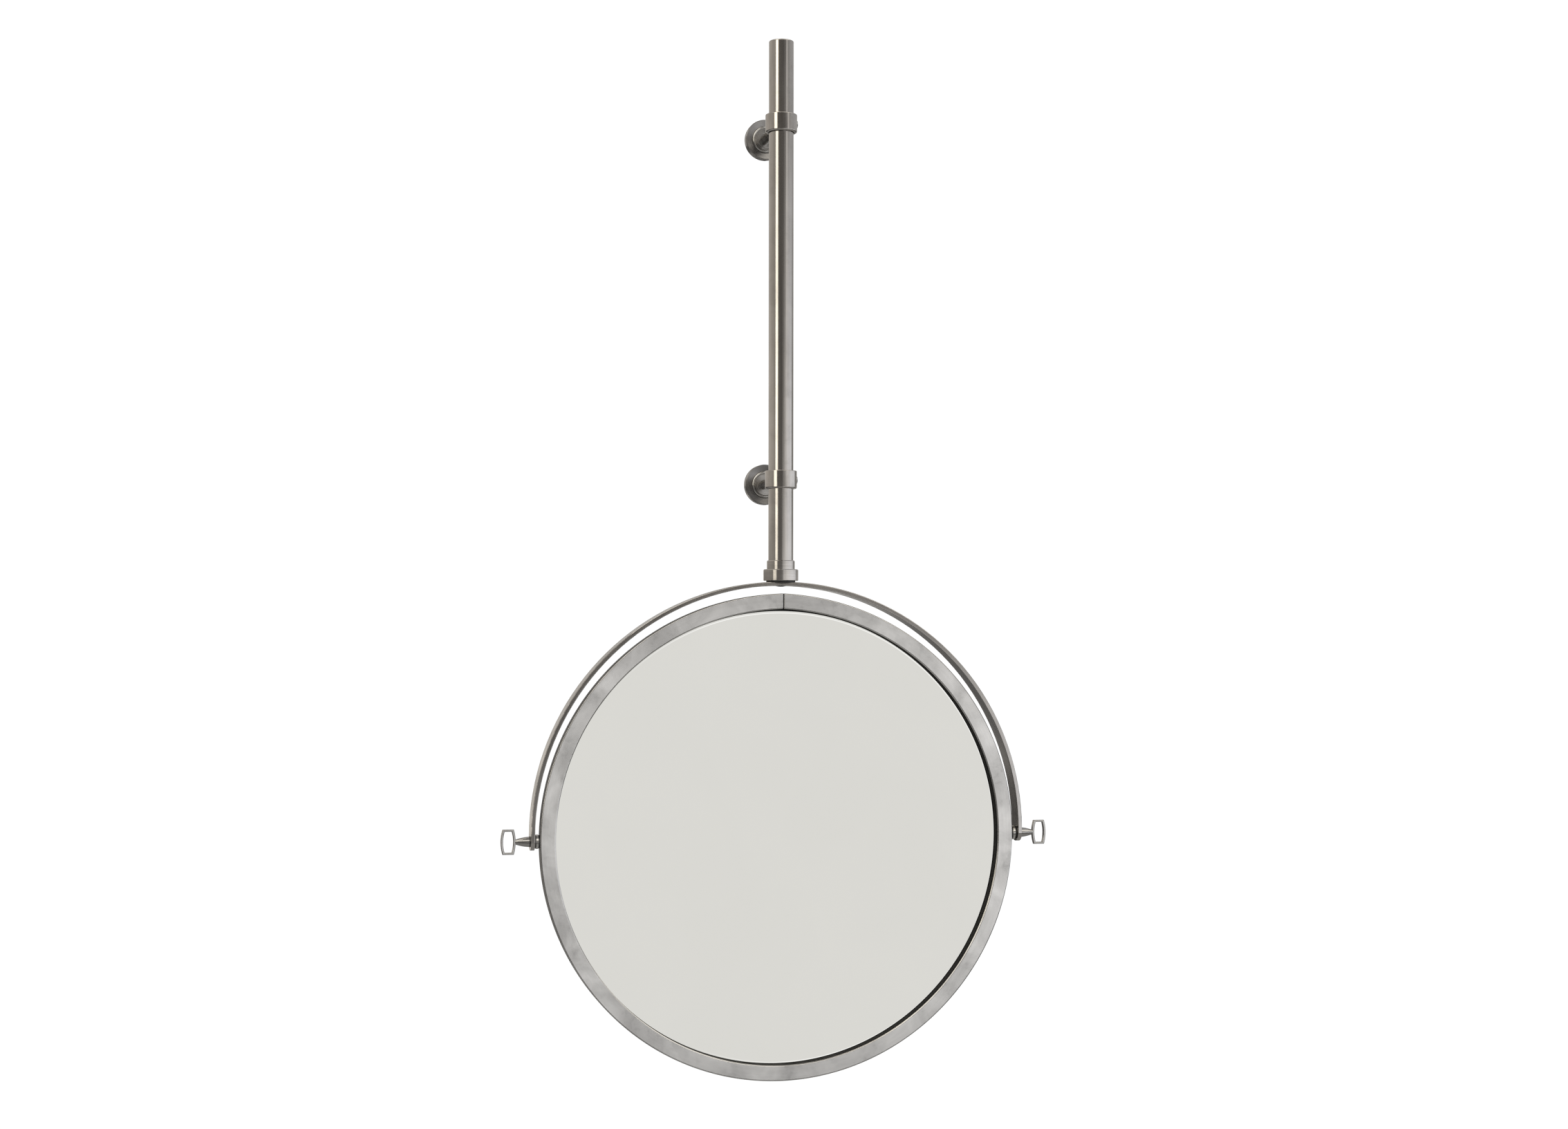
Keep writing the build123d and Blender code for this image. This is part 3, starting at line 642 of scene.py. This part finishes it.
def silvered_disc():
    """Silvered glass: rings of points from the front's middle, over the rim, to the back's middle.

    Radius and depth follow the disc's outline; the two middles are rings a hair wide, so they close."""
    outer = (GLASS_HIGH.x - GLASS_LOW.x) / 2
    front, back = GLASS_LOW.y + SILVER_DEPTH, GLASS_HIGH.y
    chamfer = 0.4 * MM
    hair = 0.002 * MM
    seen = (FRAME_HIGH.x - FRAME_LOW.x) / 2 - FRAME_FACE
    rings = np.concatenate([
        [hair, 3 * hair], np.linspace(0.08, 0.98, 9) * seen,
        seen - np.array([2.5, 2.2, 1.7, 1.4]) * MM, [outer - 1.2 * chamfer]])
    edge = [outer - chamfer, outer, outer, outer - chamfer]
    radii = np.concatenate([rings, edge, rings[::-1]])
    depths = np.concatenate([
        np.full(len(rings) + 1, front), [front + chamfer, back - chamfer], np.full(len(rings) + 1, back)])
    # Painted reflection of the lip's bright edge: a bright ring on the silver's front, faded out on the left.
    painted_reflection_band = (np.abs(radii - seen + PAINTED_REFLECTION_INSET) < PAINTED_REFLECTION_HALF) & (depths < front + 0.1 * MM)
    turn = even_turns()
    towards_right = np.clip(1.2 + 2.0 * np.sin(turn + 0.2), 0, 1)
    return ring_piece(
        "silvered_disc", np.stack([radii, depths], axis=1), finishes["mirror_glass"], ["mirror_glass"],
        ground_edge=towards_right[:, None] * painted_reflection_band[None, :])


mirror_ring()
glass_rim()
silvered_disc()


# ---- Camera ---------------------------------------------------------------------------------

def aim(place, yaw, pitch, roll, lens):
    """Camera at a place, turned right by yaw and up by pitch from looking into the wall."""
    right = np.array([math.cos(yaw), -math.sin(yaw), 0.0])
    ahead = np.array([math.sin(yaw) * math.cos(pitch), math.cos(yaw) * math.cos(pitch), math.sin(pitch)])
    up = np.cross(right, ahead)
    rolled_right = math.cos(roll) * right + math.sin(roll) * up
    rolled_up = math.cos(roll) * up - math.sin(roll) * right
    data = bpy.data.cameras.new("camera")
    data.sensor_width = 36.0
    data.lens = lens
    data.clip_end = 50.0
    camera = bpy.data.objects.new("camera", data)
    bpy.context.scene.collection.objects.link(camera)
    turn = Matrix([rolled_right, rolled_up, -ahead]).transposed().to_4x4()
    camera.matrix_world = Matrix.Translation(place) @ turn
    bpy.context.scene.camera = camera


CAMERA_PLACE = (-0.4974, -2.2477, -0.5127)
CAMERA_YAW = math.radians(13.006)
CAMERA_PITCH = math.radians(1.806)
CAMERA_ROLL = math.radians(0.062)
CAMERA_LENS = 51.18254        # millimetres, on a sensor 36 wide
aim(CAMERA_PLACE, CAMERA_YAW, CAMERA_PITCH, CAMERA_ROLL, CAMERA_LENS)


# ---- Studio ---------------------------------------------------------------------------------

def bearings(*stops):
    """Ramp stops from (bearing, colour) pairs; bearing 0 faces the mirror and 90 is to its right."""
    return [((angle + 180.0) / 360.0, colour) for angle, colour in stops]


def studio():
    """Soft studio round the mirror: a bright strip, a dark flag, a broad cool light, white behind.

    The brightness at each bearing was set to suit what the frame, yoke and glass reflect."""
    world = bpy.data.worlds.new("studio")
    bpy.context.scene.world = world
    world.use_nodes = True
    board = Board(world.node_tree)
    output = board.add("ShaderNodeOutputWorld")
    direction = board.add("ShaderNodeTexCoord").outputs["Generated"]
    parts = board.add("ShaderNodeSeparateXYZ", Vector=direction)
    x, y, z = parts.outputs
    bearing = board.math("ARCTAN2", x, board.math("MULTIPLY", y, -1.0))
    place = board.spread(bearing, -math.pi, math.pi)
    low_walls = board.ramp(place, bearings(
        (-180, (0.62, 0.59, 0.55)),
        (-125, (0.58, 0.55, 0.51)),
        (-90, (0.46, 0.435, 0.40)),
        (-66, (0.36, 0.34, 0.31)),
        (-61, (2.3, 2.2, 1.95)),
        (-45, (2.3, 2.2, 1.95)),
        (-39, (0.15, 0.14, 0.13)),
        (-4, (0.12, 0.115, 0.11)),
        (14, (0.36, 0.35, 0.335)),
        (34, (0.84, 0.835, 0.83)),
        (60, (1.0, 1.02, 1.07)),
        (98, (1.0, 1.03, 1.09)),
        (112, (0.22, 0.215, 0.21)),
        (180, (0.62, 0.60, 0.57))))
    high_walls = board.ramp(place, bearings(
        (-180, (0.52, 0.50, 0.47)),
        (-125, (0.52, 0.49, 0.455)),
        (-90, (0.42, 0.395, 0.365)),
        (-66, (0.34, 0.32, 0.295)),
        (-61, (2.3, 2.2, 1.95)),
        (-45, (2.3, 2.2, 1.95)),
        (-39, (0.13, 0.12, 0.11)),
        (10, (0.12, 0.115, 0.11)),
        (32, (0.24, 0.23, 0.225)),
        (38, (0.70, 0.69, 0.68)),
        (42, (0.70, 0.69, 0.68)),
        (50, (0.36, 0.355, 0.35)),
        (100, (0.46, 0.465, 0.48)),
        (180, (0.52, 0.50, 0.48))))
    upper = board.mix(board.spread(z, 0.08, 0.23), low_walls, high_walls)
    front = board.ramp(place, bearings(
        (-180, (0.95, 0.90, 0.83)),
        (-171, (0.95, 0.90, 0.83)),
        (-168, (0.06, 0.058, 0.056)),
        (-130, (0.06, 0.058, 0.056)),
        (-100, (0.16, 0.155, 0.15)),
        (-14, (0.22, 0.215, 0.21)),
        (-1, (0.34, 0.335, 0.33)),
        (6.7, (1.0, 1.0, 1.0)),
        (19, (1.0, 1.0, 1.0)),
        (27, (1.05, 1.06, 1.09)),
        (75, (1.0, 1.02, 1.07)),
        (110, (0.45, 0.45, 0.46)),
        (170, (0.60, 0.58, 0.55)),
        (180, (0.95, 0.90, 0.83))))
    near_horizon = board.mix(board.spread(z, 0.012, 0.045), front, upper)
    top_light = board.math(
        "MULTIPLY", board.spread(z, 0.34, 0.42), board.spread(z, 0.86, 0.70))
    facing = board.spread(y, 0.1, -0.3)
    lit = board.mix(board.math("MULTIPLY", top_light, facing), near_horizon, (1.5, 1.45, 1.35, 1))
    under = board.mix(board.spread(z, -0.194, -0.225), lit, (0.13, 0.128, 0.125, 1))
    below = board.mix(board.spread(z, -0.42, -0.6), under, (0.34, 0.335, 0.325, 1))
    inside = board.add("ShaderNodeBackground", Color=below, Strength=1.0)
    white = board.add("ShaderNodeBackground", Color=(1.0, 1.0, 1.0, 1.0), Strength=1.05)
    seen = board.add("ShaderNodeLightPath").outputs["Is Camera Ray"]
    both = board.add("ShaderNodeMixShader")
    board.feed(both, 0, seen)
    board.feed(both, 1, inside.outputs[0])
    board.feed(both, 2, white.outputs[0])
    board.feed(output, 0, both.outputs[0])


studio()


FLOOR_SIDES = 96
FLOOR_DROP = 0.75             # below the mirror's centre
FLOOR_REACH = 1.2


def floor(height, reach):
    """Round pale floor: rings of points from the middle out, radius growing with ring number."""
    around = np.linspace(0.0, 2 * math.pi, FLOOR_SIDES, endpoint=False)
    rings = np.linspace(0.0, reach, 9)[1:]
    radius, turn = np.meshgrid(rings, around, indexing="ij")
    points = np.stack([radius * np.cos(turn), radius * np.sin(turn), np.full_like(turn, height)], axis=-1)
    points = np.concatenate([[[0.0, 0.0, height]], points.reshape(-1, 3)])
    step = np.arange(FLOOR_SIDES)
    following = (step + 1) % FLOOR_SIDES
    hub = np.stack([np.zeros(FLOOR_SIDES, int), 1 + step, 1 + following], axis=1)
    faces = hub.tolist()
    for ring in range(len(rings) - 1):
        inner = 1 + FLOOR_SIDES * ring
        outer = inner + FLOOR_SIDES
        quads = [inner + step, outer + step, outer + following, inner + following]
        faces += np.stack(quads, axis=1).tolist()
    mesh = bpy.data.meshes.new("floor")
    mesh.from_pydata(points.tolist(), [], faces)
    made = bpy.data.objects.new("floor", mesh)
    bpy.context.scene.collection.objects.link(made)
    pale = speckled("pale floor", (0.86, 0.86, 0.85), (0.82, 0.82, 0.81), (0.6, 0.8), scale=60.0)
    mesh.materials.append(pale)
    made.visible_glossy = False


floor(MIRROR_CENTRE.z - FLOOR_DROP, FLOOR_REACH)


def soft_light():
    """Broad soft lamp above and in front, turned to the mirror; it adds to the matt parts only."""
    lamp = bpy.data.lights.new("soft light", "AREA")
    lamp.shape = "RECTANGLE"
    lamp.size = 1.6
    lamp.size_y = 1.0
    lamp.energy = 14.0
    lamp.color = (1.0, 0.98, 0.95)
    made = bpy.data.objects.new("soft light", lamp)
    made.location = (0.9, -1.9, 0.9)
    towards = MIRROR_CENTRE - made.location
    made.rotation_euler = towards.to_track_quat("-Z", "Y").to_euler()
    made.visible_glossy = False
    bpy.context.scene.collection.objects.link(made)


soft_light()

bpy.context.scene.view_settings.view_transform = "Standard"
